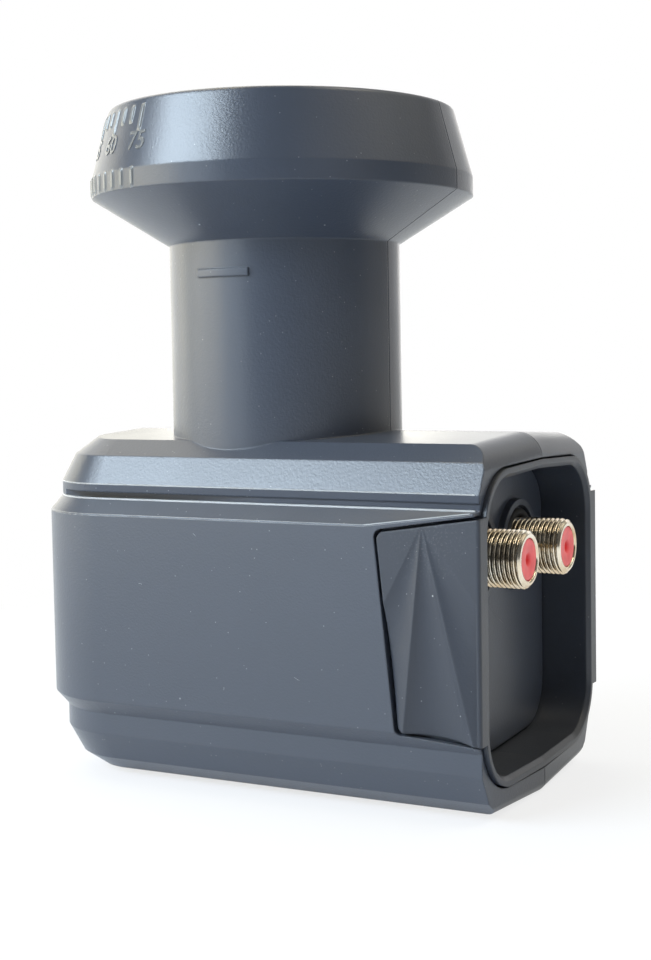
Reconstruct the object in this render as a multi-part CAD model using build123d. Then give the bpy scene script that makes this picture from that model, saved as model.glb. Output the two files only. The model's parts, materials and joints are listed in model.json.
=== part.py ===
from build123d import *
from math import acos, atan2, cos, degrees, hypot, radians, sin, tan
import os

# Feed neck and drum, heights measured from the lower front edge of the body
NECK_DIA = 40.0
DRUM_DIA = 65.8
DRUM_TOP_DIA = 59.4
DRUM_TOP_Z = 113.2
DRUM_TAPER_TALL = 11.6
DRUM_BAND_TALL = 3.2
DRUM_FLARE_TALL = 8.0
DRUM_BAND_Z = DRUM_TOP_Z - DRUM_TAPER_TALL
DRUM_EDGE_Z = DRUM_BAND_Z - DRUM_BAND_TALL
NECK_TOP_Z = DRUM_EDGE_Z - DRUM_FLARE_TALL
DRUM_TOP_ROUND = 0.8
NECK_WALL = 2.2
DRUM_WALL = 2.0
COLLAR_Z = 71.4

# Raised index bar on the front of the neck
BAR_LONG = 10.0
BAR_TALL = 1.3
BAR_PROUD = 0.35
BAR_X = -0.5
BAR_DROP = 5.3
BAR_Z = NECK_TOP_Z - BAR_DROP

# Skew scale on the drum, raised ticks counted from the -X side
SCALE_ZERO_DEG = 178
SCALE_END_DEG = 75
SCALE_STEP_DEG = 5
SCALE_LONG_DEG = 15
SCALE_DROP = 1.7
SCALE_TOP_Z = DRUM_TOP_Z - SCALE_DROP
SCALE_SHORT = 2.0
SCALE_LONG = 3.5
SCALE_LOW_INSET = 0.5
SCALE_HIGH_INSET = 0.2
SCALE_BAND = (DRUM_EDGE_Z + SCALE_LOW_INSET, DRUM_BAND_Z - SCALE_HIGH_INSET)
TICK_WIDE = 0.45
TICK_PROUD = 0.22
TICK_ROOT = 0.8

# Body section, half depths in Y and heights in Z, with a flat foot along the parting line
BODY_TALL = 57.4
TOP_HALF = 18.1
EDGE_HALF = 21.7
EDGE_DROP = 2.6
SKIRT_HALF = 24.1
SKIRT_DROP = 7.25
BELT_HALF = 26.2
BELT_LOW_Z = 13.4
BELT_DROP = 12.2
BELT_HIGH_Z = BODY_TALL - BELT_DROP
BELT_BEVEL = 2.5
DRAFT_DEG = 3.2
FOOT_HALF = 6.5
ROOF_OVERRUN = 1.5
SHELL_WALL = 2.0
SEAM_GAP = 0.16
SEAM_DEEP = 0.5

# Body plan, the two left corners share one centre at every level
CORNER_X = -23.6
CORNER_Y = 9.2
END_X = 47.5
END_DRAFT_DEG = 1.75
END_ROUND = 4.4
END_LOW_ROUND = 2.2
FAR = 80.0

# Groove under the skirt, deep at the left corner and fading to the right
GROOVE_LOW_Z = BELT_HIGH_Z + BELT_BEVEL
GROOVE_TALL = 1.15
GROOVE_DEEP_LEFT = 3.8
GROOVE_DEEP_RIGHT = 0.3
GROOVE_LEFT_X = -46.0
GROOVE_FADE_X = 8.0

# Weather cover, a sleeve that slides out along X
RUN_GAP = 0.3
COVER_HALF = 24.0
COVER_RIDGE_DROP = 3.45
COVER_SIDE_DROP = 4.2
COVER_RIDGE_Z = BODY_TALL - COVER_RIDGE_DROP
COVER_SIDE_Z = BODY_TALL - COVER_SIDE_DROP
COVER_CORNER = 10.0
COVER_WALL = 1.5
COVER_BACK_X = 17.0
COVER_FRONT_X = END_X
COVER_LIP = 0.7
TONGUE_BACK_X = 0.0
TONGUE_TALL = 17.0
LUG_LONG = 3.0
LUG_TALL = 6.0
LUG_PROUD = 1.0
COVER_TRAVEL = 25.0

# Grip panel of the cover, a trapezoid in the belt, corners given as X and Z
GRIP_TOP_X = 29.8
GRIP_LOW_X = 33.0
GRIP_TOP_DROP = 0.6
GRIP_TOP_RISE = 2.05
GRIP_LOW_DROP = 0.3
GRIP_LOW_FALL = 1.5
GRIP_TL = (GRIP_TOP_X, BELT_HIGH_Z - GRIP_TOP_DROP)
GRIP_TR = (END_X, BELT_HIGH_Z + GRIP_TOP_RISE)
GRIP_BR = (END_X, BELT_LOW_Z - GRIP_LOW_FALL)
GRIP_BL = (GRIP_LOW_X, BELT_LOW_Z - GRIP_LOW_DROP)
GRIP_GAP = 0.5
GRIP_CORNER = 1.3
GRIP_EDGE_ROUND = 0.5
GRIP_RISE_X = 28.0
GRIP_RISE_Z = BELT_HIGH_Z + BELT_BEVEL

# Three conical scoops in the grip, fanning down from one point
SCOOP_X = 38.0
SCOOP_RISE = 0.4
SCOOP_Z = BELT_HIGH_Z + SCOOP_RISE
SCOOP_FAN = (-28.0, -6.4, 13.8, 38.0)
SCOOP_TILT = (25.0, 14.0, 30.0)
SCOOP_RIM = 0.7

# Feed cap and its seal
CAP_RIM = 1.4
CAP_STEP = 1.1
CAP_FLANGE_DIA = DRUM_TOP_DIA - 2 * CAP_RIM
CAP_DIA = CAP_FLANGE_DIA - 2 * CAP_STEP
CAP_DROP = 0.2
CAP_PLATE_TALL = 1.0
CAP_FLANGE_TALL = 0.8
CAP_TOP_Z = DRUM_TOP_Z - CAP_DROP
CAP_STEP_Z = CAP_TOP_Z - CAP_PLATE_TALL
CAP_FLANGE_Z = CAP_STEP_Z - CAP_FLANGE_TALL
CAP_CLEAR = 0.3
CAP_SEAL_WIDE = 2.2
CAP_SEAL_TALL = 0.7

# Lid, gasket and lid screws
LID_SEAT = 1.3
LID_THICK = 3.0
GASKET_THICK = 0.8
LID_SCREW_R = 1.25
LID_SCREW_DEEP = 7.0
LID_HEAD_R = 2.3
LID_HEAD_TALL = 1.6

# Cast chassis with horn, waveguide and circuit box
WAVE_BORE = 9.5
WAVE_OUTER = 12.5
HORN_EDGE = 2.3
HORN_WALL = 4.5
HORN_LIP_TALL = 6.5
HORN_TALL = 16.0
HORN_OUTER = CAP_FLANGE_DIA / 2 - HORN_EDGE
HORN_BORE = HORN_OUTER - HORN_WALL
HORN_LIP_Z = CAP_FLANGE_Z - CAP_SEAL_TALL
HORN_MOUTH_Z = HORN_LIP_Z - HORN_LIP_TALL
HORN_FOOT_Z = HORN_MOUTH_Z - HORN_TALL
CHOKE_EDGE = 1.4
CHOKE_WIDE = 1.6
CHOKE_OUTER = HORN_OUTER - CHOKE_EDGE
CHOKE_INNER = CHOKE_OUTER - CHOKE_WIDE
CHOKE_DEEP = 5.0
BOX_LEFT_X = -27.0
BOX_RIGHT_X = 37.0
BOX_CLEAR = 3.0
BOX_HALF = COVER_HALF - COVER_WALL - BOX_CLEAR
BOX_HIGH_Z = GROOVE_LOW_Z - SHELL_WALL
BOX_LOW_Z = BODY_TALL - BOX_HIGH_Z + LID_SEAT + LID_THICK + GASKET_THICK
BOX_WALL = 2.5
BOX_POST = 5.5
NECK_RIB_LOW = 6.6
NECK_RIB_HIGH = 6.4
NECK_RIB_Z = (BODY_TALL + NECK_RIB_LOW, NECK_TOP_Z - NECK_RIB_HIGH)
NECK_RIB_TALL = 2.0
RIB_HALF_GAP = 10.0
RIB_THICK = 2.0
RIB_LOW_INSET = 4.2
RIB_HIGH_INSET = 7.7
RIB_LOW_Z = BOX_LOW_Z + RIB_LOW_INSET
RIB_HIGH_Z = BOX_HIGH_Z - RIB_HIGH_INSET
FOOT_X = (-15.0, 8.0)

# Circuit board and what sits on it
BOARD_DROP = 22.4
BOARD_TOP_Z = BODY_TALL - BOARD_DROP
BOARD_THICK = 1.0
BOARD_LEFT_X = -18.5
BOARD_RIGHT_X = 28.5
BOARD_HALF = 14.2
BOARD_POST_R = 1.8
BOARD_INSET = 2.4
BOARD_SCREW_R = 0.8
BOARD_SCREW_DEEP = 5.0
BOARD_HEAD_R = 1.5
BOARD_HEAD_TALL = 1.2
PROBE_R = 0.4
PROBE_LONG = 6.0
PROBE_TIP = 3.0
AMP_SIDE = 2.2
AMP_TALL = 1.0
AMP_RING = 14.6
AMP_TURN = (-35.0, 0.0, 35.0)
CHIP_SIDE = 5.0
CHIP_TALL = 0.9
CHIP_AT = (20.0, 0.0)
CRYSTAL_SIZE = (3.2, 2.5, 0.8)
CRYSTAL_AT = (25.2, 0.0)
REGULATOR_SIZE = (6.5, 3.5, 1.6)
REGULATOR_AT = (19.0, 9.0)

# Connector end plate and the two threaded connectors
PLATE_FACE_X = 38.8
PLATE_CLEAR = 0.3
PLATE_EDGE_ROUND = 0.5
RING_INNER = 6.7
RING_OUTER = 7.8
RING_PROUD = 1.2
CONN_Y = 8.8
CONN_RISE = 3.7
CONN_Z = BOARD_TOP_Z + CONN_RISE
CONN_TIP_X = 48.6
CONN_BACK_X = 34.5
CONN_R = 4.72
CONN_BASE_R = 4.9
CONN_THREAD_X = 40.0
CONN_BORE = 3.55
CONN_CHAMFER = 0.55
CONN_FLANGE_R = 6.2
CONN_FLANGE_LONG = 1.2
CONN_CLEAR = 0.2
INSULATOR_INSET = 0.35
INSULATOR_BACK_X = 36.0
CONTACT_R = 0.7
CONTACT_TIP_X = 45.0
CONTACT_FOOT_X = 26.5
SEAL_CORD_R = 0.65


def block(x0, x1, y0, y1, z0, z1):
    mid = Pos((x0 + x1) / 2, (y0 + y1) / 2, (z0 + z1) / 2)
    return mid * Box(x1 - x0, y1 - y0, z1 - z0)


def rod(x, y, z0, z1, radius):
    return Pos(x, y, (z0 + z1) / 2) * Cylinder(radius, z1 - z0)


def ring(z0, z1, outer, inner):
    return rod(0, 0, z0, z1, outer) - rod(0, 0, z0, z1, inner)


def along_x(x0, x1, y, z, radius):
    turn = Pos((x0 + x1) / 2, y, z) * Rot(0, 90, 0)
    return turn * Cylinder(radius, x1 - x0)


def spun(points):
    return revolve(Plane.XZ * Polygon(*points, align=None), Axis.Z)


def both_sides(piece):
    return piece + mirror(piece, about=Plane.XZ)


# Body tiers

def outline(half):
    radius = half - CORNER_Y
    left = CORNER_X - radius
    plate = Pos((left + FAR) / 2, 0) * Rectangle(FAR - left, 2 * half)
    return fillet(plate.vertices().sort_by(Axis.X)[:2], radius)


def tier(low, high):
    (z0, half0), (z1, half1) = low, high
    slant = degrees(atan2(abs(half0 - half1), z1 - z0))
    if half0 >= half1:
        face = Pos(0, 0, z0) * outline(half0)
    else:
        face = Plane((0, 0, z1), x_dir=(1, 0, 0), z_dir=(0, 0, -1)) * outline(half1)
    return extrude(face, z1 - z0, taper=slant)


def stack(levels):
    return Part() + [tier(low, high) for low, high in zip(levels, levels[1:])]


def end_corner(inset, radius):
    ridge = BODY_TALL - inset + TOP_HALF * tan(radians(DRAFT_DEG))
    end = END_X - inset
    face = Pos((end - FAR) / 2, (ridge - FAR) / 2) * Rectangle(end + FAR, ridge + FAR)
    brow = face.vertices().sort_by(lambda v: v.X + v.Y)[-1]
    slab = extrude(Plane.XZ * fillet(brow, radius), FAR, both=True)
    pivot = Pos(end, 0, ridge)
    front = pivot * Rot(DRAFT_DEG, 0, -END_DRAFT_DEG) * pivot.inverse() * slab
    return front & mirror(front, about=Plane.XZ)


def end_block(inset=0.0):
    upper = end_corner(inset, END_ROUND)
    lower = end_corner(inset, END_LOW_ROUND)
    return upper & mirror(lower, about=Plane.XY.offset(BODY_TALL / 2))


def body(inset=0.0):
    edge_slope = (EDGE_HALF - TOP_HALF) / EDGE_DROP
    tip = TOP_HALF - ROOF_OVERRUN * edge_slope
    roof = [
        (BODY_TALL - SKIRT_DROP, SKIRT_HALF - inset),
        (BODY_TALL - EDGE_DROP, EDGE_HALF - inset),
        (BODY_TALL + ROOF_OVERRUN, tip - inset),
    ]
    floor = [(BODY_TALL - z, half) for z, half in reversed(roof)]
    belt = [
        (BELT_LOW_Z - BELT_BEVEL, SKIRT_HALF - inset),
        (BELT_LOW_Z, BELT_HALF - inset),
        (BELT_HIGH_Z, BELT_HALF - inset),
        (BELT_HIGH_Z + BELT_BEVEL, SKIRT_HALF - inset),
    ]
    foot_z = inset - (TOP_HALF - FOOT_HALF) * tan(radians(DRAFT_DEG))
    shape = stack(floor + roof) + stack(belt) + belt_rise()
    return shape & end_block(inset) & block(-FAR, FAR, -FAR, FAR, foot_z, FAR)


def belt_rise():
    low = BELT_HIGH_Z - BELT_BEVEL
    corners = [
        (GRIP_RISE_X, BELT_HIGH_Z),
        (END_X, GRIP_RISE_Z),
        (END_X, low),
        (GRIP_RISE_X, low),
    ]
    face = Plane.XZ.offset(SKIRT_HALF - SHELL_WALL) * Polygon(*corners, align=None)
    return both_sides(extrude(face, BELT_HALF - SKIRT_HALF + SHELL_WALL, dir=(0, -1, 0)))


def neck_and_drum(inset=0.0):
    neck = NECK_DIA / 2 - inset
    wide = DRUM_DIA / 2 - inset
    narrow = DRUM_TOP_DIA / 2 - inset
    points = [
        (0, BODY_TALL / 2),
        (neck, BODY_TALL / 2),
        (neck, NECK_TOP_Z + inset),
        (wide, DRUM_EDGE_Z + inset),
        (wide, DRUM_BAND_Z),
        (narrow, DRUM_TOP_Z - inset),
        (0, DRUM_TOP_Z - inset),
    ]
    return spun(points)


def groove():
    skin = SKIRT_HALF + SHELL_WALL
    corners = [
        (GROOVE_LEFT_X, SKIRT_HALF - GROOVE_DEEP_LEFT),
        (GROOVE_FADE_X, SKIRT_HALF - GROOVE_DEEP_RIGHT),
        (END_X, SKIRT_HALF - GROOVE_DEEP_RIGHT),
        (END_X, skin),
        (GROOVE_LEFT_X, skin),
    ]
    face = Pos(0, 0, GROOVE_LOW_Z) * Polygon(*corners, align=None)
    return both_sides(extrude(face, GROOVE_TALL, dir=(0, 0, 1)))


# Weather cover section

def cover_section(inset):
    half = COVER_HALF - inset
    top = COVER_RIDGE_Z - inset
    side = COVER_SIDE_Z - inset
    upper = [(-half, side), (0, top), (half, side)]
    lower = [(y, BODY_TALL - z) for y, z in reversed(upper)]
    face = Polygon(*upper, *lower, align=None)
    corners = [v for v in face.vertices() if abs(v.X) > half / 2]
    return fillet(corners, COVER_CORNER - inset)


def cover_prism(inset, x0, x1):
    return extrude(Plane.YZ.offset(x0) * cover_section(inset), x1 - x0, dir=(1, 0, 0))


def grip_face(gap, right_x):
    slope_top = (GRIP_TR[1] - GRIP_TL[1]) / (GRIP_TR[0] - GRIP_TL[0])
    slope_low = (GRIP_BR[1] - GRIP_BL[1]) / (GRIP_BR[0] - GRIP_BL[0])
    slope_left = (GRIP_BL[0] - GRIP_TL[0]) / (GRIP_TL[1] - GRIP_BL[1])
    top_z = GRIP_TL[1] - gap * hypot(1, slope_top)
    low_z = GRIP_BL[1] + gap * hypot(1, slope_low)
    left_shift = gap * hypot(1, slope_left)
    corners = [
        (GRIP_TL[0] + left_shift, top_z + left_shift * slope_top),
        (right_x, top_z + (right_x - GRIP_TL[0]) * slope_top),
        (right_x, low_z + (right_x - GRIP_BL[0]) * slope_low),
        (GRIP_BL[0] + left_shift, low_z + left_shift * slope_low),
    ]
    face = Polygon(*corners, align=None)
    return fillet(face.vertices().sort_by(Axis.X)[:2], GRIP_CORNER)


def grip_pad(gap, right_x, y0, y1):
    return extrude(Plane.XZ.offset(y0) * grip_face(gap, right_x), y1 - y0, dir=(0, -1, 0))


def scoop(left_deg, right_deg, tilt_deg):
    middle = radians((left_deg + right_deg) / 2)
    half_fan = radians((right_deg - left_deg) / 2)
    tilt = radians(tilt_deg)
    axis = Vector(sin(middle) * cos(tilt), -sin(tilt), -cos(middle) * cos(tilt))
    radius = SCOOP_Z * tan(acos(cos(tilt) * cos(half_fan)))
    apex = (SCOOP_X, -BELT_HALF, SCOOP_Z)
    cone = Solid.make_cone(0, radius, SCOOP_Z, Plane(apex, z_dir=axis))
    return cone & block(-FAR, COVER_FRONT_X - SCOOP_RIM, -FAR, FAR, -FAR, FAR)


def weather_cover():
    sleeve = cover_prism(0, COVER_BACK_X, COVER_FRONT_X)
    bore = cover_prism(COVER_WALL, COVER_BACK_X - FAR, COVER_FRONT_X + FAR)
    middle = BODY_TALL / 2
    low = middle - TONGUE_TALL / 2
    high = middle + TONGUE_TALL / 2
    inner = COVER_HALF - COVER_WALL
    tongue = block(TONGUE_BACK_X, COVER_FRONT_X / 2, -COVER_HALF, -inner, low, high)
    lug_end = TONGUE_BACK_X + LUG_LONG
    lug_low = middle - LUG_TALL / 2
    lug_out = COVER_HALF + LUG_PROUD
    tongue += block(TONGUE_BACK_X, lug_end, -lug_out, -inner, lug_low, lug_low + LUG_TALL)
    pad = grip_pad(GRIP_GAP, COVER_FRONT_X, COVER_HALF - COVER_WALL / 2, BELT_HALF)
    rim = pad.edges().filter_by(Axis.Z).sort_by(Axis.X)[-2:].sort_by(Axis.Y)[0]
    pad = fillet(rim, GRIP_EDGE_ROUND)
    for left, right, tilt in zip(SCOOP_FAN, SCOOP_FAN[1:], SCOOP_TILT):
        pad -= scoop(left, right, tilt)
    shape = sleeve + both_sides(tongue) + both_sides(pad) - bore
    mouth = shape.faces().sort_by(Axis.X)[-1].inner_wires()[0].edges()
    return chamfer(mouth, COVER_LIP)


# Housing with its cavities, before it is split

def cavity():
    floor_z = SHELL_WALL + SHELL_WALL / 2
    roof = BODY_TALL - SHELL_WALL
    shelf_z = GROOVE_LOW_Z - SHELL_WALL
    wide = SKIRT_HALF - SHELL_WALL
    narrow = TOP_HALF - SHELL_WALL / 2
    left_end = block(-FAR, COVER_BACK_X - SHELL_WALL, -FAR, FAR, -FAR, FAR)
    room = stack([(BODY_TALL - shelf_z, wide), (shelf_z, wide)])
    room += stack([(BODY_TALL - roof, narrow), (roof, narrow)])
    room += stack([
        (BELT_LOW_Z + SHELL_WALL, COVER_HALF + RUN_GAP),
        (BELT_HIGH_Z - SHELL_WALL, COVER_HALF + RUN_GAP),
    ])
    room = room & left_end
    room += cover_prism(-RUN_GAP, COVER_BACK_X - SHELL_WALL - floor_z, FAR)
    return room


def feed_cavity():
    neck = NECK_DIA / 2 - NECK_WALL
    wide = DRUM_DIA / 2 - DRUM_WALL
    flange = CAP_FLANGE_DIA / 2 + CAP_CLEAR
    mouth = CAP_DIA / 2 + CAP_CLEAR
    ledge = CAP_FLANGE_Z - CAP_SEAL_TALL
    points = [
        (0, BODY_TALL / 2),
        (neck, BODY_TALL / 2),
        (neck, NECK_TOP_Z + DRUM_WALL / 2),
        (wide, DRUM_EDGE_Z + DRUM_WALL / 2),
        (wide, DRUM_BAND_Z),
        (flange, ledge),
        (flange, CAP_STEP_Z),
        (mouth, CAP_STEP_Z),
        (mouth, FAR * 2),
        (0, FAR * 2),
    ]
    return spun(points)


def neck_ribs():
    ribs = Part()
    reach = NECK_DIA / 2 - NECK_WALL / 2
    for z in NECK_RIB_Z:
        ribs += ring(z, z + NECK_RIB_TALL, reach, WAVE_OUTER)
    return ribs


def body_ribs():
    wall = SHELL_WALL / 2
    inner = RIB_HALF_GAP
    outer = inner + RIB_THICK
    left = CORNER_X - BELT_HALF + CORNER_Y + wall
    ribs = block(left, BOX_LEFT_X, -outer, -inner, RIB_LOW_Z, RIB_HIGH_Z)
    lid_low = BOX_LOW_Z - GASKET_THICK - LID_THICK
    for x in FOOT_X:
        ribs += block(x, x + RIB_THICK, -outer, -inner, wall, lid_low)
    return both_sides(ribs)


def lug_track():
    middle = BODY_TALL / 2
    low = middle - LUG_TALL / 2 - RUN_GAP
    high = middle + LUG_TALL / 2 + RUN_GAP
    x0 = TONGUE_BACK_X - RUN_GAP
    x1 = TONGUE_BACK_X + LUG_LONG + COVER_TRAVEL + RUN_GAP
    depth = COVER_HALF + LUG_PROUD + RUN_GAP
    return both_sides(block(x0, x1, -depth, -COVER_HALF, low, high))


def index_bar():
    neck = NECK_DIA / 2
    low = BAR_Z - BAR_TALL / 2
    high = low + BAR_TALL
    band = ring(low, high, neck + BAR_PROUD, neck - NECK_WALL / 2)
    left = BAR_X - BAR_LONG / 2
    return band & block(left, left + BAR_LONG, -FAR, 0, low, high)


def drum_r(z):
    fall = (DRUM_DIA - DRUM_TOP_DIA) / 2 / (DRUM_TOP_Z - DRUM_BAND_Z)
    return DRUM_DIA / 2 - fall * max(0, z - DRUM_BAND_Z)


def tick(z0, z1, turn):
    corners = [
        (drum_r(z0) - TICK_ROOT, z0),
        (drum_r(z0) + TICK_PROUD, z0),
        (drum_r(z1) + TICK_PROUD, z1),
        (drum_r(z1) - TICK_ROOT, z1),
    ]
    face = Plane.XZ * Polygon(*corners, align=None)
    return Rot(0, 0, turn) * extrude(face, TICK_WIDE / 2, both=True)


def skew_scale():
    ticks = []
    for value in range(-SCALE_END_DEG, SCALE_END_DEG + 1, SCALE_STEP_DEG):
        long_one = value % SCALE_LONG_DEG == 0
        tall = SCALE_LONG if long_one else SCALE_SHORT
        turn = SCALE_ZERO_DEG + value
        ticks.append(tick(SCALE_TOP_Z - tall, SCALE_TOP_Z, turn))
        ticks.append(tick(*SCALE_BAND, turn))
    return ticks


def housing():
    drum = neck_and_drum()
    rim = drum.edges().filter_by(GeomType.CIRCLE).sort_by(Axis.Z)[-1]
    drum = fillet(rim, DRUM_TOP_ROUND) + skew_scale()
    shape = body() + drum
    seam = block(-FAR, FAR, -SEAM_GAP / 2, SEAM_GAP / 2, -FAR, FAR * 2)
    seam -= body(SEAM_DEEP) + neck_and_drum(SEAM_DEEP)
    shape -= cavity() + feed_cavity()
    shape += neck_ribs() + body_ribs() + index_bar()
    shape -= groove() + lug_track() + seam
    opening = grip_pad(0, FAR, COVER_HALF - SHELL_WALL, FAR)
    return shape - both_sides(opening)


# Feed cap, chassis and inner pieces

def feed_cap():
    flange = rod(0, 0, CAP_FLANGE_Z, CAP_STEP_Z, CAP_FLANGE_DIA / 2)
    return flange + rod(0, 0, CAP_STEP_Z, CAP_TOP_Z, CAP_DIA / 2)


def feed_cap_seal():
    inner = HORN_OUTER - CAP_SEAL_WIDE
    return ring(CAP_FLANGE_Z - CAP_SEAL_TALL, CAP_FLANGE_Z, HORN_OUTER, inner)


def box_posts():
    x0 = BOX_LEFT_X + BOX_WALL
    x1 = BOX_RIGHT_X - BOX_WALL
    y = BOX_HALF - BOX_WALL
    posts = Part()
    for x in (x0, x1 - BOX_POST):
        posts += block(x, x + BOX_POST, -y, BOX_POST - y, BOX_LOW_Z, BOX_HIGH_Z - BOX_WALL)
    return both_sides(posts)


def lid_screw_places():
    inset = BOX_WALL + BOX_POST / 2
    ends = (BOX_LEFT_X + inset, BOX_RIGHT_X - inset)
    return [(x, y) for x in ends for y in (inset - BOX_HALF, BOX_HALF - inset)]


def board_screw_places():
    ends = (BOARD_LEFT_X + BOARD_INSET, BOARD_RIGHT_X - BOARD_INSET)
    sides = (BOARD_INSET - BOARD_HALF, BOARD_HALF - BOARD_INSET)
    return [(x, y) for x in ends for y in sides]


def chassis_casting():
    ceiling = BOX_HIGH_Z - BOX_WALL
    inner = BOX_HALF - BOX_WALL
    left = BOX_LEFT_X + BOX_WALL
    right = BOX_RIGHT_X - BOX_WALL
    shape = block(BOX_LEFT_X, BOX_RIGHT_X, -BOX_HALF, BOX_HALF, BOX_LOW_Z, BOX_HIGH_Z)
    shape -= block(left, right, -inner, inner, BOX_LOW_Z - BOX_WALL, ceiling)
    shape += box_posts()
    for x, y in board_screw_places():
        shape += rod(x, y, BOARD_TOP_Z, ceiling, BOARD_POST_R)
        shape -= rod(x, y, BOARD_TOP_Z, BOARD_TOP_Z + BOARD_SCREW_DEEP, BOARD_SCREW_R)
    for x, y in lid_screw_places():
        shape -= rod(x, y, BOX_LOW_Z, BOX_LOW_Z + LID_SCREW_DEEP, LID_SCREW_R)
    tube = [
        (WAVE_BORE, BOARD_TOP_Z),
        (WAVE_OUTER, BOARD_TOP_Z),
        (WAVE_OUTER, HORN_FOOT_Z),
        (HORN_OUTER, HORN_MOUTH_Z),
        (HORN_OUTER, HORN_LIP_Z),
        (CHOKE_OUTER, HORN_LIP_Z),
        (CHOKE_OUTER, HORN_LIP_Z - CHOKE_DEEP),
        (CHOKE_INNER, HORN_LIP_Z - CHOKE_DEEP),
        (CHOKE_INNER, HORN_LIP_Z),
        (HORN_BORE, HORN_LIP_Z),
        (HORN_BORE, HORN_MOUTH_Z),
        (WAVE_BORE, HORN_FOOT_Z),
    ]
    shape -= rod(0, 0, BOARD_TOP_Z, BOX_HIGH_Z, WAVE_BORE)
    shape += spun(tube)
    for y in (-CONN_Y, CONN_Y):
        shape -= along_x(right, BOX_RIGHT_X, y, CONN_Z, CONN_BASE_R)
    return shape


def lid_plate(z0, z1):
    plate = block(BOX_LEFT_X, BOX_RIGHT_X, -BOX_HALF, BOX_HALF, z0, z1)
    for x, y in lid_screw_places():
        plate -= rod(x, y, z0, z1, LID_SCREW_R)
    return plate


def chassis_lid():
    top = BOX_LOW_Z - GASKET_THICK
    return lid_plate(top - LID_THICK, top)


def lid_gasket():
    top = BOX_LOW_Z
    low = top - GASKET_THICK
    inner = BOX_HALF - BOX_WALL
    opening = block(BOX_LEFT_X + BOX_WALL, BOX_RIGHT_X - BOX_WALL, -inner, inner, low, top)
    return lid_plate(low, top) - (opening - box_posts().moved(Pos(0, 0, -GASKET_THICK)))


def screws(places, radius, head_r, head_z, head_tall, tip_z):
    shapes = []
    for x, y in places:
        head = rod(x, y, head_z - head_tall, head_z, head_r)
        shapes.append(head + rod(x, y, head_z, tip_z, radius))
    return Part() + shapes


def lid_screws():
    low = BOX_LOW_Z - GASKET_THICK - LID_THICK
    tip = BOX_LOW_Z + LID_SCREW_DEEP
    return screws(lid_screw_places(), LID_SCREW_R, LID_HEAD_R, low, LID_HEAD_TALL, tip)


def board_screws():
    low = BOARD_TOP_Z - BOARD_THICK
    tip = BOARD_TOP_Z + BOARD_SCREW_DEEP
    return screws(board_screw_places(), BOARD_SCREW_R, BOARD_HEAD_R, low, BOARD_HEAD_TALL, tip)


def circuit_board():
    low = BOARD_TOP_Z - BOARD_THICK
    board = block(BOARD_LEFT_X, BOARD_RIGHT_X, -BOARD_HALF, BOARD_HALF, low, BOARD_TOP_Z)
    for x, y in board_screw_places():
        board -= rod(x, y, low, BOARD_TOP_Z, BOARD_SCREW_R)
    return board


def probe(turn):
    foot = PROBE_TIP + PROBE_LONG
    high = BOARD_TOP_Z + 2 * PROBE_R
    strip = block(PROBE_TIP, foot, -PROBE_R, PROBE_R, BOARD_TOP_Z, high)
    return Rot(0, 0, turn) * strip


def on_board(centre, size):
    long, deep, tall = size
    return Pos(*centre, BOARD_TOP_Z + tall / 2) * Box(long, deep, tall)


def amplifier_transistors():
    size = (AMP_SIDE, AMP_SIDE, AMP_TALL)
    return Part() + [Rot(0, 0, turn) * on_board((AMP_RING, 0), size) for turn in AMP_TURN]


# Connector end

def end_plate():
    plate = cover_prism(COVER_WALL + PLATE_CLEAR, BOX_RIGHT_X, PLATE_FACE_X)
    plate = fillet(plate.faces().sort_by(Axis.X)[-1].edges(), PLATE_EDGE_ROUND)
    for y in (-CONN_Y, CONN_Y):
        plate += along_x(BOX_RIGHT_X, PLATE_FACE_X + RING_PROUD, y, CONN_Z, RING_OUTER)
    for y in (-CONN_Y, CONN_Y):
        plate -= along_x(PLATE_FACE_X, PLATE_FACE_X + RING_PROUD, y, CONN_Z, RING_INNER)
        plate -= along_x(BOX_RIGHT_X, PLATE_FACE_X, y, CONN_Z, CONN_BASE_R + CONN_CLEAR)
        flange_end = BOX_RIGHT_X + CONN_FLANGE_LONG
        plate -= along_x(BOX_RIGHT_X, flange_end, y, CONN_Z, CONN_FLANGE_R + CONN_CLEAR)
    return plate


def connector_shell(y):
    barrel = along_x(CONN_THREAD_X, CONN_TIP_X, y, CONN_Z, CONN_R)
    tip = barrel.edges().filter_by(GeomType.CIRCLE).sort_by(Axis.X)[-1]
    barrel = chamfer(tip, CONN_CHAMFER)
    barrel += along_x(CONN_BACK_X, CONN_THREAD_X, y, CONN_Z, CONN_BASE_R)
    barrel += along_x(BOX_RIGHT_X, BOX_RIGHT_X + CONN_FLANGE_LONG, y, CONN_Z, CONN_FLANGE_R)
    return barrel - along_x(CONN_BACK_X, CONN_TIP_X, y, CONN_Z, CONN_BORE)


def connector_insulator(y):
    front = CONN_TIP_X - INSULATOR_INSET
    plug = along_x(INSULATOR_BACK_X, front, y, CONN_Z, CONN_BORE)
    return plug - along_x(INSULATOR_BACK_X, front, y, CONN_Z, CONTACT_R)


def connector_contact(y):
    pin = along_x(CONTACT_FOOT_X, CONTACT_TIP_X, y, CONN_Z, CONTACT_R)
    foot = CONTACT_FOOT_X + CONTACT_R
    return pin + rod(foot, y, BOARD_TOP_Z, CONN_Z, CONTACT_R)


def connector_seal(y):
    cord = Torus(CONN_BASE_R + SEAL_CORD_R, SEAL_CORD_R)
    return Pos(PLATE_FACE_X + SEAL_CORD_R, y, CONN_Z) * Rot(0, 90, 0) * cord


def save(name, piece):
    piece = Pos(0, 0, -COLLAR_Z) * piece
    piece.label = name
    export_step(piece, f"parts/{name}.step")


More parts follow.
